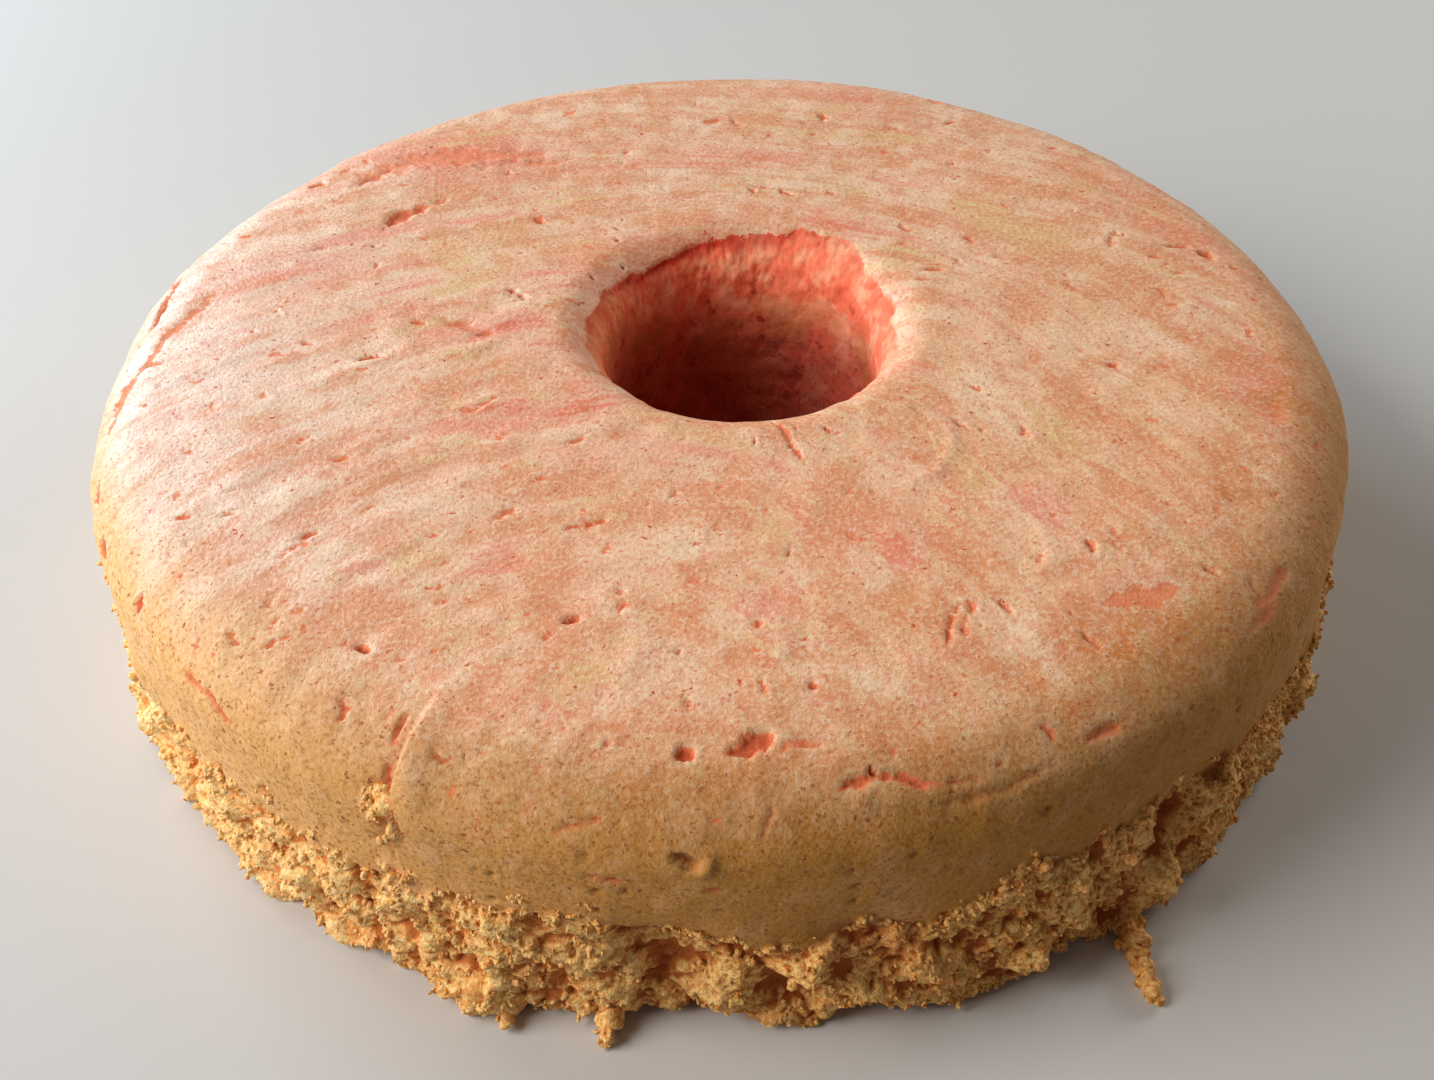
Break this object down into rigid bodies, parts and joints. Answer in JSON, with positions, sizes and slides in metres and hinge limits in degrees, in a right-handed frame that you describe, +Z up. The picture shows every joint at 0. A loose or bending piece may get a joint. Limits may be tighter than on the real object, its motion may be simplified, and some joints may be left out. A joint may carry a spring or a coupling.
{
  "type": "chiffon cake",
  "caption": "Pink-marbled ring-shaped chiffon cake, turned out upside down, with a smooth browned crust above a torn crumb band and an open centre hole.",
  "frame": {"origin": "middle of the flat underside", "axes": "+Z up through the hole of the cake, -Y towards the side that the picture shows"},
  "size_m": [0.2451, 0.2458, 0.0571],
  "materials": {
    "chiffon_crumb": "matte, finely porous baked crust and torn crumb"
  },
  "bodies": {
    "root": {"cake": "chiffon_crumb"}
  },
  "joints": []
}
